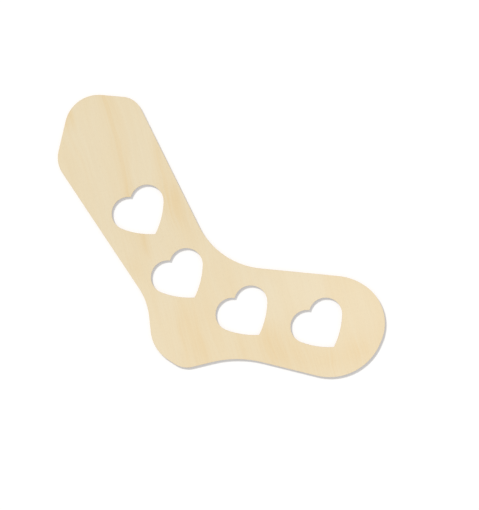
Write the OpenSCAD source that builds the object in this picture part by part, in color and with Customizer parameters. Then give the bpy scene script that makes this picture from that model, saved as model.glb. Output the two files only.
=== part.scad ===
// Flat wooden sock stretcher: a sock-shaped plywood board with heart-shaped holes.
// It lies on its rear face, with the leg along Y, the toe towards +X and the front face up.
// The outline is drawn from the ankle bend, where the straight back of the leg meets the heel.

/* [Leg] */
// Height of the leg's straight back, from the ankle bend to the cuff's back shoulder
leg_h = 166; // [130:1:220]
// Width of the leg at the cuff, from the back edge to the front shoulder
cuff_w = 102.5; // [88:0.5:125]
// Width of the leg at the ankle, from the back edge to the instep bend
ankle_w = 79; // [72:0.5:95]
// Drop from the ankle bend to the instep bend
instep_drop = 8; // [0:0.5:20]
// Distance from the back edge to the cuff's peak
peak_in = 53; // [40:0.5:65]
// Height of the cuff's peak above the back shoulder
peak_rise = 49.5; // [35:0.5:65]
// Height of the front shoulder above the back shoulder
front_rise = 10; // [0:0.5:20]

/* [Foot] */
// Slope of the foot below the horizontal while the leg stands upright
foot_slope = 39.2; // [30:0.1:48]
// Length of the foot, from the heel's back corner to the toe
foot_len = 238; // [215:1:270]
// Depth of the foot, from its top edge to its sole
foot_d = 108; // [96:0.5:125]
// Distance along the foot from the instep bend back to the heel's back corner
heel_reach = 56.5; // [48:0.5:66]
// Height of the heel's back corner above the sole
heel_rise = 16.5; // [10:0.5:24]
// Distance along the foot from the heel's back corner to its lower corner
heel_len = 32; // [24:0.5:42]
// Distance along the foot from the heel's back corner to the arch
arch_len = 84.5; // [70:0.5:100]
// Rise of the arch above the sole
arch_rise = 18.5; // [8:0.5:24]
// Distance along the foot from the toe back to the ball
ball_back = 26.5; // [18:0.5:40]
// Distance along the foot from the toe back to the end of the top edge
toe_top_back = 46; // [36:0.5:60]
// Drop of the toe below the foot's top edge
toe_drop = 25; // [15:0.5:35]

/* [Corner radii] */
// Radius of the cuff's back shoulder
back_shoulder_r = 28; // [5:0.5:40]
// Radius of the cuff's peak
peak_r = 34; // [5:0.5:45]
// Radius of the cuff's front shoulder
front_shoulder_r = 22; // [5:0.5:35]
// Radius of the hollow at the instep
instep_r = 77; // [20:1:110]
// Radius where the foot's top edge turns down to the toe
toe_top_r = 55; // [20:0.5:70]
// Radius of the toe
toe_r = 45; // [20:0.5:60]
// Radius of the ball
ball_r = 55; // [20:0.5:80]
// Radius of the hollow at the arch
arch_r = 105; // [40:1:150]
// Radius of the heel's lower corner
heel_r = 23; // [5:0.5:35]
// Radius of the heel's back corner
heel_back_r = 37.5; // [10:0.5:50]
// Radius of the hollow at the ankle bend
ankle_r = 63; // [20:0.5:90]

/* [Hearts] */
// Width of a heart
heart_w = 55.5; // [40:0.5:62]
// Height of a heart
heart_h = 48.5; // [36:0.5:56]
// Depth of the cleft between a heart's lobes
heart_cleft = 4.3; // [2:0.1:10]
// Radius of a heart's two sides, from the lobes down to the tip
heart_side_r = 78; // [50:1:150]
// Distance from the leg's back edge to the cuff heart's middle
cuff_heart_in = 43.7; // [38:0.1:52]
// Height of the cuff heart's middle above the ankle bend
cuff_heart_up = 76; // [60:0.1:95]
// Distance from the leg's back edge to the ankle heart's middle
ankle_heart_in = 41.2; // [36:0.1:46]
// Height of the ankle heart's middle above the ankle bend
ankle_heart_up = 1.4; // [-6:0.1:10]
// Distance along the foot from the instep bend to the arch heart's middle
arch_heart_along = 32.7; // [26:0.1:45]
// Distance from the foot's top edge to the arch heart's middle
arch_heart_down = 47.5; // [42:0.1:52]
// Distance along the foot from the instep bend to the toe heart's middle
toe_heart_along = 108.4; // [95:0.1:120]
// Distance from the foot's top edge to the toe heart's middle
toe_heart_down = 52.3; // [45:0.1:60]

/* [Plywood] */
// Thickness of each face veneer
face_t = 1.2; // [0.6:0.1:2]
// Thickness of the core veneer
core_t = 1.4; // [0.6:0.1:3]
// Thickness of a glue line
glue_t = 0.1; // [0.05:0.01:0.3]

/* [Smoothness] */
// Largest turn from one point of a curve to the next, in degrees
arc_step = 3; // [1:0.5:6]

/* [Hidden] */

birch_colour = [0.92, 0.86, 0.73];
core_colour = [0.83, 0.70, 0.52];
glue_colour = [0.45, 0.31, 0.20];

// Most of an edge that the arcs at its two ends may take together
edge_share = 0.98;

// Heights of the layers, from the rear face up
rear_glue_z = face_t;
core_z = rear_glue_z + glue_t;
front_glue_z = core_z + core_t;
front_z = front_glue_z + glue_t;

// Directions forward along the foot, and from its top edge down to the sole
along_foot = [cos(foot_slope), -sin(foot_slope)];
down_foot = [-sin(foot_slope), -cos(foot_slope)];
instep = [ankle_w, -instep_drop];
heel_along = -heel_reach;
toe_along = foot_len - heel_reach;

// Place on the foot, so far along it from the instep bend and so far down from its top edge
function on_foot(along, down) = instep + along * along_foot + down * down_foot;

// Corners of the board, clockwise from the back shoulder: the place and the radius of each
corners = [
    [[0, leg_h], back_shoulder_r],
    [[peak_in, leg_h + peak_rise], peak_r],
    [[cuff_w, leg_h + front_rise], front_shoulder_r],
    [instep, instep_r],
    [on_foot(toe_along - toe_top_back, 0), toe_top_r],
    [on_foot(toe_along, toe_drop), toe_r],
    [on_foot(toe_along - ball_back, foot_d), ball_r],
    [on_foot(heel_along + arch_len, foot_d - arch_rise), arch_r],
    [on_foot(heel_along + heel_len, foot_d), heel_r],
    [on_foot(heel_along, foot_d - heel_rise), heel_back_r],
    [[0, 0], ankle_r]
];

heart_places = [
    [cuff_heart_in, cuff_heart_up],
    [ankle_heart_in, ankle_heart_up],
    on_foot(arch_heart_along, arch_heart_down),
    on_foot(toe_heart_along, toe_heart_down)
];

// Direction of a vector, as an angle
function heading(v) = atan2(v.y, v.x);

// Points along an arc; skip = 1 leaves out its first point
function arc(centre, r, from, to, skip = 0) =
    let (steps = max(1, ceil(abs(to - from) / arc_step)))
    [for (k = [skip : steps])
        let (a = from + (to - from) * k / steps)
        centre + r * [cos(a), sin(a)]];

// Place and radius of corner i, which counts round past the last corner
function place(i) = corners[(i + len(corners)) % len(corners)][0];
function radius(i) = corners[(i + len(corners)) % len(corners)][1];

// Unit vector from corner i towards corner j
function towards(i, j) = (place(j) - place(i)) / norm(place(j) - place(i));

// Half the angle between the edges that meet at corner i
function half_angle(i) = acos(towards(i, i - 1) * towards(i, i + 1)) / 2;

// Length of the edge from corner i to the next, and the length that rounding corner i takes from it
function edge(i) = norm(place(i + 1) - place(i));
function taken(i) = radius(i) / tan(half_angle(i));

// Share of corner i's radius that the edges beside it have room for
function room(i) = min(
    1,
    edge_share * edge(i - 1) / (taken(i - 1) + taken(i)),
    edge_share * edge(i) / (taken(i) + taken(i + 1))
);

// Points along the arc that rounds corner i
function corner_arc(i) =
    let (
        r = radius(i) * room(i),
        back = towards(i, i - 1),
        ahead = towards(i, i + 1),
        outward = -(back + ahead) / norm(back + ahead),
        half_turn = (90 - half_angle(i)) * sign(cross(ahead, back))
    )
    arc(
        place(i) - outward * r / sin(half_angle(i)), r,
        heading(outward) - half_turn, heading(outward) + half_turn
    );

outline = [for (i = [0 : len(corners) - 1]) each corner_arc(i)];

// Middle of the outline's box, which the part's origin lies under
outline_x = [for (p = outline) p.x];
outline_y = [for (p = outline) p.y];
board_middle = [min(outline_x) + max(outline_x), min(outline_y) + max(outline_y)] / 2;

// Right half of a heart: a round lobe that runs on into a flatter side arc, which ends at the tip
lobe_in = sqrt(heart_w * heart_cleft) - heart_cleft;
lobe_r = heart_w / 2 - lobe_in;
lobe_centre = [lobe_in, heart_h / 2 - lobe_r];
cleft_point = [0, heart_h / 2 - heart_cleft];
tip = [0, -heart_h / 2];

// The side's centre lies one side radius from the tip, and so far from the lobe's that the arcs touch
lobe_to_tip = norm(tip - lobe_centre);
to_tip = (tip - lobe_centre) / lobe_to_tip;
side_to_lobe = heart_side_r - lobe_r;
side_along = (side_to_lobe ^ 2 - heart_side_r ^ 2 + lobe_to_tip ^ 2) / (2 * lobe_to_tip);
side_across = sqrt(side_to_lobe ^ 2 - side_along ^ 2);
side_centre = lobe_centre + side_along * to_tip + side_across * [to_tip.y, -to_tip.x];
join_heading = heading(lobe_centre - side_centre);

heart_half = concat(
    arc(lobe_centre, lobe_r, heading(cleft_point - lobe_centre), join_heading),
    arc(side_centre, heart_side_r, join_heading, heading(tip - side_centre), skip = 1)
);
heart_outline = concat(
    heart_half,
    [for (i = [len(heart_half) - 2 : -1 : 1]) [-heart_half[i].x, heart_half[i].y]]
);

// The board seen from the front, with its hearts cut out
module board_shape() {
    translate(-board_middle)
        difference() {
            polygon(outline);
            for (heart_place = heart_places)
                translate(heart_place)
                    polygon(heart_outline);
        }
}

// One layer of the board, from height z up
module layer(z, thickness) {
    translate([0, 0, z])
        linear_extrude(height = thickness)
            board_shape();
}

// Face veneer that the board lies on
module rear_veneer() {
    color(birch_colour)
        layer(0, face_t);
}

// Glue between the rear veneer and the core
module rear_glue_line() {
    color(glue_colour)
        layer(rear_glue_z, glue_t);
}

// Core veneer, with its grain across the faces' grain
module core_veneer() {
    color(core_colour)
        layer(core_z, core_t);
}

// Glue between the core and the front veneer
module front_glue_line() {
    color(glue_colour)
        layer(front_glue_z, glue_t);
}

// Face veneer on the side that shows
module front_veneer() {
    color(birch_colour)
        layer(front_z, face_t);
}

rear_veneer();
rear_glue_line();
core_veneer();
front_glue_line();
front_veneer();
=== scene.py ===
"""A flat birch plywood sock stretcher with heart-shaped holes, on a white table and seen from above."""

import math

import bpy
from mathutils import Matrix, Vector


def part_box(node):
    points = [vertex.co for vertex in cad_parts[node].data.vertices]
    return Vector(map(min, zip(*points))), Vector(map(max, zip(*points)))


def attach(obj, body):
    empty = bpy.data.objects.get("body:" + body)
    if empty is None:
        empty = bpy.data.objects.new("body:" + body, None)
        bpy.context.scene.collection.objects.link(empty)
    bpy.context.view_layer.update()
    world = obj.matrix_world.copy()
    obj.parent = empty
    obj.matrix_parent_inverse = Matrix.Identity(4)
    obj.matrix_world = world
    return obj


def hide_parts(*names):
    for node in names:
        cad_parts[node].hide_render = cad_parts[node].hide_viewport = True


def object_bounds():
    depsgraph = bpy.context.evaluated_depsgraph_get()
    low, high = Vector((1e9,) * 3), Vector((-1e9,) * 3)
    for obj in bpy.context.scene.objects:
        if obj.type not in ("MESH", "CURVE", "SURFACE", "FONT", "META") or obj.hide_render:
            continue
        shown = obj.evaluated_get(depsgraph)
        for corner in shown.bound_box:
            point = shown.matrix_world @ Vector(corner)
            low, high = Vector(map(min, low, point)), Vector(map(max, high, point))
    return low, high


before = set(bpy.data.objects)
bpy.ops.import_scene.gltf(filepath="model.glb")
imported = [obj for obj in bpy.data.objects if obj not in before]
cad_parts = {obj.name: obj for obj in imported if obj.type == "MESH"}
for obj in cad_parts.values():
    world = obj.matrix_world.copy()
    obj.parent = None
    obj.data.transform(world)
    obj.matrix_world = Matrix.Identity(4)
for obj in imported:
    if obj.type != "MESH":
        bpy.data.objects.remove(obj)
cad_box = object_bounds()

MM = 0.001
WHITE = (1, 1, 1, 1)

# The picture: its height in pixels, a pixel's size on the front face, its turn and the place in its middle
PICTURE_H = 510
PIXEL = 1.0 * MM
PICTURE_TURN = math.radians(-33.6)
PICTURE_MIDDLE = (14.9 * MM, -28.1 * MM)

# The camera's lens, and its sensor, which spans the picture's height, both in millimetres
LENS = 480
SENSOR = 36

# The light: a soft lamp beyond the cuff, which throws the thin shadow, and an even glow from all round
LAMP_STRENGTH = 2.08
LAMP_WIDTH = math.radians(9)
LAMP_TILT = math.radians(35.5)
LAMP_TURN = math.radians(5)
GLOW = 0.45

# The table: its width, the gap under the board, its colour and the glow that makes it white in the picture
TABLE_W = 8
TABLE_GAP = 0.05 * MM
TABLE_COLOUR = (0.75, 0.745, 0.735, 1)
TABLE_LIFT = 0.315

# Points of a mesh that lie this close are one
MERGE = 0.002 * MM

# The upright part of a face's normal is below the first value on a wall, and beyond the second on a flat
WALL = 0.01
FLAT = 0.8

# Two triangles of a wall become a quad where they lie in one plane to this angle, whatever their shape
PLANE_ANGLE = math.radians(0.5)
ANY_SHAPE = math.pi

# Faces that meet at less than this angle are shaded as one curve
SMOOTH_ANGLE = math.radians(20)

# The rims: the shown ones are sanded round, and the hidden ones leave a hairline groove beside the glue
ARRIS = 0.06 * MM
ARRIS_STEPS = 2
GROOVE = 0.04 * MM
GROOVE_STEPS = 1

# Width of the ring of faces that a groove is cut into
GROOVE_RING = 0.12 * MM

# The browning beside a cut: rings inside the rim, each with its width and the browning at its inner edge
BROWNING = "browning"
BROWNED_RINGS = ((0.35 * MM, 0.45), (0.45 * MM, 0.0))

# The faces' grain runs up the leg and leans towards the toe, and the core's grain lies across it
FACE_GRAIN = math.radians(18.6)
CORE_GRAIN = FACE_GRAIN + math.radians(90)

# Colours of the face: plain on the leg and at the toe, the tint of warm wood, the pores and the browning
LEG_BIRCH = (0.820, 0.710, 0.502, 1)
TOE_BIRCH = (0.874, 0.746, 0.522, 1)
WARM_TINT = (0.988, 0.935, 0.845, 1)
PORE_BROWN = (0.50, 0.33, 0.17, 1)
SCORCH_BROWN = (0.30, 0.155, 0.062, 1)

# Colours of the cut edge, from its lightest to its darkest, and of the glue in it
EDGE_TAN = (0.46, 0.26, 0.11, 1)
EDGE_BROWN = (0.21, 0.10, 0.04, 1)
GLUE_BROWN = (0.055, 0.027, 0.013, 1)
GLUE_DARK = (0.022, 0.012, 0.007, 1)

# Noises: a spot's width across the grain, its length along it, its depth, the noise's start and fineness
SWAY = (45 * MM, 90 * MM, 50 * MM, 0, 2)
CLOUDS = (22 * MM, 150 * MM, 50 * MM, 3, 2)
LINES = (2.4 * MM, 160 * MM, 20 * MM, 5, 2)
FIBRES = (0.9 * MM, 45 * MM, 5 * MM, 7, 4)
PORES = (0.22 * MM, 3.5 * MM, 1 * MM, 11, 1)
BEAM_MARKS = (0.3 * MM, 0.3 * MM, 6 * MM, 0, 3)
SMOKE = (18 * MM, 18 * MM, 10 * MM, 5, 2)
SEAMS = (4 * MM, 4 * MM, 0.12 * MM, 9, 2)
CHAR = (0.8 * MM, 0.8 * MM, 0.8 * MM, 2, 3)

# Most of a noise lies between these values
NOISE_LOW = 0.3
NOISE_HIGH = 0.7

# Where each layer starts in the noises, so that the layers don't look alike
FRONT_START = 0
REAR_START = 40
CORE_START = 20
GLUE_START = 0

# The face's figure: how far it sways, and how warm the wood is all over, in its clouds and in its lines
SWAY_REACH = 4 * MM
PLAIN_WARMTH = 0.19
CLOUD_WARMTH = 0.4
LINE_WARMTH = 0.1

# How strongly the lines streak the warm bands
LINES_IN_BANDS = 3.0

# How far a warm band fades to each side of its ends, in millimetres
BAND_FADE = 14

# Warm bands, in millimetres: each one's middle and reach across the grain, its ends along it, its strength
FRONT_BANDS = (
    # Up the leg
    (-65, 12, 2, 230, 0.6),
    (-67, 5, 2, 230, 0.3),
    (-104, 13, 148, 190, 1.3),
    (-27, 14, 40, 112, 0.65),
    (-23, 14, 22, 62, 0.5),
    (-14, 22, 0, 40, 0.3),
    # Down the back of the ankle and the heel
    (-82, 9, -20, 2, 0.5),
    (-55, 16, -80, -45, 0.25),
    (-55, 7, -104, -74, 0.35),
    (-42, 6, -110, -86, 0.3),
    (-37, 6, -116, -78, 0.3),
    (-45, 40, -130, -60, 0.25),
    # Along the sole
    (-2, 16, -130, -100, 0.35),
    (32, 18, -142, -98, 0.9),
    (52, 30, -146, -116, 0.45),
    (82, 28, -156, -136, 0.7),
    (116, 26, -156, -136, 0.75),
    # Paler wood at the toe and on the foot
    (122, 34, -122, -80, -0.15),
    (75, 45, -92, -30, -0.35),
    (46, 14, -100, -50, -0.4),
)
REAR_BANDS = (
    (-90, 10, -40, 200, 0.7),
    (-55, 6, 40, 190, 0.5),
    (-20, 16, -120, 30, 0.6),
    (45, 9, -160, -60, 0.8),
    (90, 30, -170, -90, 0.5),
)

# How the plain colour goes over from the leg's to the toe's, down the grain and across it, so that the
# face is painted lighter towards the foot and the toe
FOOT_FROM = 60 * MM
FOOT_FULL = -110 * MM
FOOT_SHARE = 0.6
TOE_FROM = 20 * MM
TOE_FULL = 110 * MM
TOE_SHARE = 0.4

# Where in their noise the pores begin to show and show in full
PORE_FROM = 0.6
PORE_FULL = 0.74

# How strongly the fibres, the pores and the browning colour the face
FIBRE_SHARE = 0.035
PORE_SHARE = 0.16
SCORCH_SHARE = 0.07

# How far a cut faces along the grain where end grain begins to show and shows in full
END_GRAIN_FROM = 0.25
END_GRAIN_FULL = 0.95

# How much browner the cut edge is on end grain, and from each of its marks at the least and at the most
END_GRAIN_BROWN = 0.4
BEAM_BROWN = (0.0, 0.4)
SMOKE_BROWN = (-0.1, 0.25)
SEAM_BROWN = (-0.08, 0.12)

# Depths of the fine relief on the face, the cut edge and the glue
FIBRE_DEPTH = 0.007 * MM
PORE_DEPTH = 0.004 * MM
BEAM_DEPTH = 0.03 * MM
CHAR_DEPTH = 0.01 * MM

# Gloss of each surface
WOOD_IOR = 1.45
FACE_ROUGHNESS = (0.52, 0.64)
EDGE_ROUGHNESS = (0.6, 0.75)
GLUE_ROUGHNESS = (0.35, 0.55)

# Numbers of the Mix node's colour sockets, whose names it uses for other sockets too
MIX_FIRST = 6
MIX_SECOND = 7
MIX_RESULT = 2


# Nodes that the finishes are made of

def add_node(tree, kind, inputs=None, **settings):
    """A new node; an input that is given a socket is linked to it."""
    node = tree.nodes.new(kind)
    for name, value in settings.items():
        setattr(node, name, value)
    for key, value in (inputs or {}).items():
        if isinstance(value, bpy.types.NodeSocket):
            tree.links.new(value, node.inputs[key])
        else:
            node.inputs[key].default_value = value
    return node


def first_output(tree, kind, inputs, **settings):
    """The first output of a new node."""
    return add_node(tree, kind, inputs, **settings).outputs[0]


def arithmetic(tree, operation, *values):
    """The values, joined one after another by this operation."""
    total = values[0]
    for value in values[1:]:
        total = first_output(tree, "ShaderNodeMath", {0: total, 1: value}, operation=operation)
    return total


def sum_of(tree, *values):
    return arithmetic(tree, "ADD", *values)


def product_of(tree, *values):
    return arithmetic(tree, "MULTIPLY", *values)


def size_of(tree, value):
    """The value without its sign."""
    return first_output(tree, "ShaderNodeMath", {0: value}, operation="ABSOLUTE")


def remap(tree, value, low, high, to_low=0.0, to_high=1.0):
    """The value, eased from one range to another and held at its ends."""
    inputs = {"Value": value, "From Min": low, "From Max": high, "To Min": to_low, "To Max": to_high}
    return first_output(tree, "ShaderNodeMapRange", inputs, interpolation_type="SMOOTHSTEP")


def spread(tree, noise, to_low, to_high):
    """A noise, stretched to run from one value to another."""
    return remap(tree, noise, NOISE_LOW, NOISE_HIGH, to_low, to_high)


def blend_colours(tree, share, first, second, **settings):
    """The first colour, going over to the second, or to their product, as the share rises."""
    inputs = {"Factor": share, MIX_FIRST: first, MIX_SECOND: second}
    return add_node(tree, "ShaderNodeMix", inputs, data_type="RGBA", **settings).outputs[MIX_RESULT]


def object_place(tree):
    """The place on the piece, in the frame that all the pieces share."""
    return add_node(tree, "ShaderNodeTexCoord").outputs["Object"]


def grain_place(tree, grain):
    """The place on the piece, turned so that Y runs along the grain."""
    inputs = {"Vector": object_place(tree), "Rotation": (0, 0, grain)}
    return first_output(tree, "ShaderNodeMapping", inputs)


def grain_noise(tree, place, spots, start):
    """One of the noises above, further on by the starting place."""
    width, length, depth, own_start, fineness = spots
    begin = start + own_start
    spot_place = first_output(tree, "ShaderNodeMapping", {
        "Vector": place,
        "Scale": (1 / width, 1 / length, 1 / depth),
        "Location": (begin, begin, begin),
    })
    inputs = {"Vector": spot_place, "Scale": 1.0, "Detail": fineness}
    return first_output(tree, "ShaderNodeTexNoise", inputs)


def relief(tree, height):
    """Fine bumps of this height in metres."""
    return first_output(tree, "ShaderNodeBump", {"Height": height, "Distance": 1.0, "Strength": 1.0})


# Finishes of the layers

def new_material(name):
    """A material with an empty tree, and that tree."""
    material = bpy.data.materials.new(name)
    material.use_nodes = True
    material.node_tree.nodes.clear()
    return material, material.node_tree


def finish_material(tree, inputs):
    """The surface shader, with these inputs, on the tree's output."""
    surface = first_output(tree, "ShaderNodeBsdfPrincipled", inputs)
    add_node(tree, "ShaderNodeOutputMaterial", {"Surface": surface})


def warm_band(tree, across, along, band):
    """How much one soft band warms a place, or pales it where its strength is negative."""
    middle, reach, low, high, strength = band
    distance = size_of(tree, sum_of(tree, across, -middle * MM))
    beside = remap(tree, distance, reach * MM, 0.0)
    from_low = remap(tree, along, (low - BAND_FADE) * MM, (low + BAND_FADE) * MM)
    to_high = remap(tree, along, (high + BAND_FADE) * MM, (high - BAND_FADE) * MM)
    return product_of(tree, beside, from_low, to_high, strength)


def birch_colour(tree, place, bands, start):
    """The wood's colour without its fine detail: paler and warmer stretches that run along the grain."""
    across, along, depth = add_node(tree, "ShaderNodeSeparateXYZ", {"Vector": place}).outputs
    sway = spread(tree, grain_noise(tree, place, SWAY, start), -SWAY_REACH, SWAY_REACH)
    swayed = sum_of(tree, across, sway)
    figure = first_output(tree, "ShaderNodeCombineXYZ", {"X": swayed, "Y": along, "Z": depth})
    clouds = spread(tree, grain_noise(tree, figure, CLOUDS, start), 0.0, CLOUD_WARMTH)
    lines = spread(tree, grain_noise(tree, figure, LINES, start), -LINE_WARMTH, LINE_WARMTH)
    banding = sum_of(tree, *(warm_band(tree, swayed, along, band) for band in bands))
    streaks = sum_of(tree, product_of(tree, lines, LINES_IN_BANDS), 1.0)
    streaked_bands = product_of(tree, banding, streaks)
    warmth = sum_of(tree, clouds, lines, streaked_bands, PLAIN_WARMTH)

    # The face is painted a little lighter towards the foot and the toe
    towards_foot = remap(tree, along, FOOT_FROM, FOOT_FULL, 0.0, FOOT_SHARE)
    towards_toe = remap(tree, across, TOE_FROM, TOE_FULL, 0.0, TOE_SHARE)
    plain = blend_colours(tree, sum_of(tree, towards_foot, towards_toe), LEG_BIRCH, TOE_BIRCH)
    return blend_colours(tree, warmth, plain, WARM_TINT, blend_type="MULTIPLY", clamp_factor=False)


def birch_face(name, bands, start):
    """Sanded birch: a soft figure, fine fibres and short pores, a little browned beside the cuts."""
    material, tree = new_material(name)
    place = grain_place(tree, FACE_GRAIN)
    fibre = grain_noise(tree, place, FIBRES, start)
    pore = remap(tree, grain_noise(tree, place, PORES, start), PORE_FROM, PORE_FULL)
    browning = add_node(tree, "ShaderNodeAttribute", attribute_name=BROWNING).outputs["Fac"]

    wood = birch_colour(tree, place, bands, start)
    wood = blend_colours(tree, spread(tree, fibre, 0.0, FIBRE_SHARE), wood, PORE_BROWN)
    wood = blend_colours(tree, product_of(tree, pore, PORE_SHARE), wood, PORE_BROWN)
    wood = blend_colours(tree, product_of(tree, browning, browning, SCORCH_SHARE), wood, SCORCH_BROWN)
    height = sum_of(tree, product_of(tree, fibre, FIBRE_DEPTH), product_of(tree, pore, -PORE_DEPTH))
    finish_material(tree, {
        "Base Color": wood,
        "Roughness": spread(tree, fibre, *FACE_ROUGHNESS),
        "IOR": WOOD_IOR,
        "Normal": relief(tree, height),
    })
    return material


def cut_edge(name, grain, start):
    """A veneer's laser-cut edge: browned, most on end grain, with fine upright marks of the beam."""
    material, tree = new_material(name)
    place = object_place(tree)
    facing = add_node(tree, "ShaderNodeTexCoord").outputs["Normal"]
    along_grain = (math.sin(grain), math.cos(grain), 0)
    turned = add_node(tree, "ShaderNodeVectorMath", {0: facing, 1: along_grain}, operation="DOT_PRODUCT")
    end_grain = remap(tree, size_of(tree, turned.outputs["Value"]), END_GRAIN_FROM, END_GRAIN_FULL)

    marks = grain_noise(tree, place, BEAM_MARKS, start)
    brown = sum_of(
        tree,
        product_of(tree, end_grain, END_GRAIN_BROWN),
        spread(tree, marks, *BEAM_BROWN),
        spread(tree, grain_noise(tree, place, SMOKE, start), *SMOKE_BROWN),
        spread(tree, grain_noise(tree, place, SEAMS, start), *SEAM_BROWN),
    )
    finish_material(tree, {
        "Base Color": blend_colours(tree, brown, EDGE_TAN, EDGE_BROWN),
        "Roughness": spread(tree, marks, *EDGE_ROUGHNESS),
        "IOR": WOOD_IOR,
        "Normal": relief(tree, product_of(tree, marks, BEAM_DEPTH)),
    })
    return material


def glue_film(name):
    """Cured glue, charred dark at the cut."""
    material, tree = new_material(name)
    char = grain_noise(tree, object_place(tree), CHAR, GLUE_START)
    finish_material(tree, {
        "Base Color": blend_colours(tree, spread(tree, char, 0.0, 1.0), GLUE_BROWN, GLUE_DARK),
        "Roughness": spread(tree, char, *GLUE_ROUGHNESS),
        "Normal": relief(tree, product_of(tree, char, CHAR_DEPTH)),
    })
    return material


# Places on a layer

def is_wall(face):
    return abs(face.normal.z) < WALL


def is_top(face):
    return face.normal.z > FLAT


def is_bottom(face):
    return face.normal.z < -FLAT


def rim_height(node, side):
    """Height of a layer's rim on its top or its bottom."""
    low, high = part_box(node)
    return high.z if side is is_top else low.z


def pick_faces(piece, wanted):
    """Selects the faces that pass the test, and nothing else."""
    bpy.ops.mesh.select_mode(type="FACE")
    bpy.ops.mesh.select_all(action="DESELECT")
    bpy.ops.object.mode_set(mode="OBJECT")
    for face in piece.data.polygons:
        face.select = wanted(face)
    bpy.ops.object.mode_set(mode="EDIT")


def pick_rim(piece, height):
    """Selects the edges at this height where the walls end."""
    bpy.ops.mesh.select_mode(type="EDGE")
    bpy.ops.mesh.select_all(action="DESELECT")
    bpy.ops.object.mode_set(mode="OBJECT")
    mesh = piece.data
    wall_edges = {key for face in mesh.polygons if is_wall(face) for key in face.edge_keys}
    for edge in mesh.edges:
        ends = [mesh.vertices[i].co.z for i in edge.vertices]
        edge.select = edge.key in wall_edges and all(abs(z - height) < MERGE for z in ends)
    bpy.ops.object.mode_set(mode="EDIT")


# Work on a layer

def start_piece(name, node, *materials):
    """A copy of a layer's solid, merged into one closed mesh whose walls are quads, open for editing."""
    bpy.ops.object.select_all(action="DESELECT")
    piece = bpy.data.objects.new(name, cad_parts[node].data.copy())
    piece.data.name = name
    piece.data.materials.clear()
    for material in materials:
        piece.data.materials.append(material)
    bpy.context.scene.collection.objects.link(piece)
    bpy.context.view_layer.objects.active = piece
    piece.select_set(True)
    bpy.ops.object.mode_set(mode="EDIT")
    bpy.ops.mesh.select_all(action="SELECT")
    bpy.ops.mesh.customdata_custom_splitnormals_clear()
    bpy.ops.mesh.remove_doubles(threshold=MERGE)
    pick_faces(piece, is_wall)
    bpy.ops.mesh.tris_convert_to_quads(face_threshold=PLANE_ANGLE, shape_threshold=ANY_SHAPE)
    return piece


def mark_browning(piece, amount):
    """Sets the browning of the selected points."""
    bpy.ops.object.mode_set(mode="OBJECT")
    values = piece.data.attributes[BROWNING].data
    for point in piece.data.vertices:
        if point.select:
            values[point.index].value = amount
    bpy.ops.object.mode_set(mode="EDIT")


def brown_rim(piece, side):
    """Rings beside the cuts on one face of the board, browned less and less away from them."""
    bpy.ops.object.mode_set(mode="OBJECT")
    browning = piece.data.attributes.new(BROWNING, "FLOAT", "POINT")
    browning.data.foreach_set("value", [1.0] * len(piece.data.vertices))
    bpy.ops.object.mode_set(mode="EDIT")
    pick_faces(piece, side)
    for width, amount in BROWNED_RINGS:
        bpy.ops.mesh.inset(thickness=width, depth=0, use_even_offset=True)
        mark_browning(piece, amount)


def round_rim(piece, height, size, steps):
    """Takes the sharp arris off one rim of a layer."""
    pick_rim(piece, height)
    bpy.ops.mesh.bevel(
        offset=size,
        offset_type="OFFSET",
        segments=steps,
        affect="EDGES",
        clamp_overlap=False,
    )


def groove_rim(piece, side, height):
    """The hairline groove where a layer meets its glue."""
    pick_faces(piece, side)
    bpy.ops.mesh.inset(thickness=GROOVE_RING, depth=0, use_even_offset=True)
    round_rim(piece, height, GROOVE, GROOVE_STEPS)


def cover_rest(piece, side):
    """Gives the second material to all that isn't on this side."""
    pick_faces(piece, lambda face: not side(face))
    piece.active_material_index = 1
    bpy.ops.object.material_slot_assign()


def finish_piece(piece, node):
    """Smooth shading round the curves, and the piece's place in the frame."""
    bpy.ops.object.mode_set(mode="OBJECT")
    bpy.ops.object.shade_smooth_by_angle(angle=SMOOTH_ANGLE)
    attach(piece, "root")
    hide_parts(node)


# The layers of the board

def add_face_veneer(name, node, shown_side, hidden_side, face, edge):
    """A veneer on the outside of the board: its shown rim sanded and browned, its hidden rim grooved."""
    piece = start_piece(name, node, face, edge)
    brown_rim(piece, shown_side)
    round_rim(piece, rim_height(node, shown_side), ARRIS, ARRIS_STEPS)
    groove_rim(piece, hidden_side, rim_height(node, hidden_side))
    cover_rest(piece, shown_side)
    finish_piece(piece, node)


def add_core_veneer(name, node, edge):
    """The veneer in the middle, grooved at both rims."""
    piece = start_piece(name, node, edge)
    for side in (is_top, is_bottom):
        groove_rim(piece, side, rim_height(node, side))
    finish_piece(piece, node)


def add_glue_line(name, node, glue):
    """A film of glue between two veneers."""
    finish_piece(start_piece(name, node, glue), node)


def add_board():
    """The board's five layers, each in the place of its node."""
    front_face = birch_face("front_birch", FRONT_BANDS, FRONT_START)
    rear_face = birch_face("rear_birch", REAR_BANDS, REAR_START)
    face_edge = cut_edge("face_veneer_cut", FACE_GRAIN, FRONT_START)
    core_edge = cut_edge("core_veneer_cut", CORE_GRAIN, CORE_START)
    glue = glue_film("glue")
    add_face_veneer("veneer_rear", "rear_veneer", is_bottom, is_top, rear_face, face_edge)
    add_glue_line("glue_rear", "rear_glue_line", glue)
    add_core_veneer("veneer_core", "core_veneer", core_edge)
    add_glue_line("glue_front", "front_glue_line", glue)
    add_face_veneer("veneer_front", "front_veneer", is_top, is_bottom, front_face, face_edge)


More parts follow.
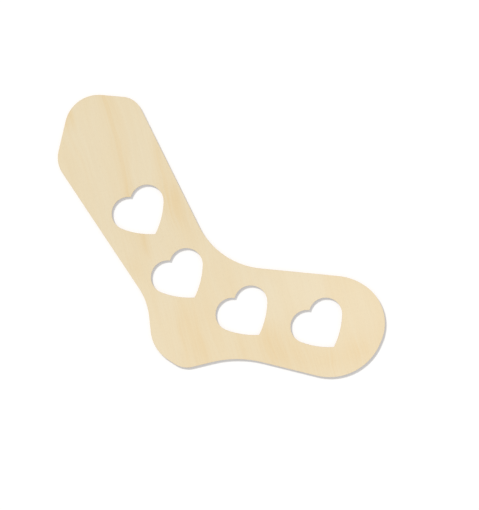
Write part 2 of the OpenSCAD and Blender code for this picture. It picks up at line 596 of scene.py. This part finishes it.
# The table, the light and the camera

def seen_directly(tree):
    """1 for what the camera sees, also in gloss or through glass, and 0 for light on other things."""
    path = add_node(tree, "ShaderNodeLightPath").outputs
    return sum_of(tree, path["Is Camera Ray"], path["Is Glossy Ray"], path["Is Transmission Ray"])


def add_table():
    """A white table top that keeps the board's shadow."""
    bpy.ops.mesh.primitive_plane_add(size=TABLE_W, location=(0, 0, cad_box[0].z - TABLE_GAP))
    table = bpy.context.object
    table.name = "table"
    material, tree = new_material("white_table")
    top = first_output(tree, "ShaderNodeBsdfDiffuse", {"Color": TABLE_COLOUR})
    lift = product_of(tree, seen_directly(tree), TABLE_LIFT)
    glow = first_output(tree, "ShaderNodeEmission", {"Color": WHITE, "Strength": lift})
    both = first_output(tree, "ShaderNodeAddShader", {0: top, 1: glow})
    add_node(tree, "ShaderNodeOutputMaterial", {"Surface": both})
    table.data.materials.append(material)


def add_light():
    """The lamp beyond the cuff and the even white glow."""
    bpy.ops.object.light_add(type="SUN", rotation=(-LAMP_TILT, 0, LAMP_TURN))
    lamp = bpy.context.object
    lamp.name = "lamp"
    lamp.data.energy = LAMP_STRENGTH
    lamp.data.angle = LAMP_WIDTH
    room = bpy.data.worlds.new("white_room")
    room.use_nodes = True
    room.node_tree.nodes.clear()
    tree = room.node_tree
    strength = remap(tree, seen_directly(tree), 0.0, 1.0, GLOW, 1.0)
    background = first_output(tree, "ShaderNodeBackground", {"Color": WHITE, "Strength": strength})
    add_node(tree, "ShaderNodeOutputWorld", {"Surface": background})
    bpy.context.scene.world = room


def add_camera():
    """A long lens straight above the board."""
    distance = PICTURE_H * PIXEL * LENS / SENSOR
    place = (*PICTURE_MIDDLE, cad_box[1].z + distance)
    bpy.ops.object.camera_add(location=place, rotation=(0, 0, PICTURE_TURN))
    camera = bpy.context.object
    camera.data.lens = LENS
    camera.data.sensor_width = SENSOR
    bpy.context.scene.camera = camera


add_camera()
add_board()
add_table()
add_light()
bpy.context.scene.view_settings.view_transform = "Standard"
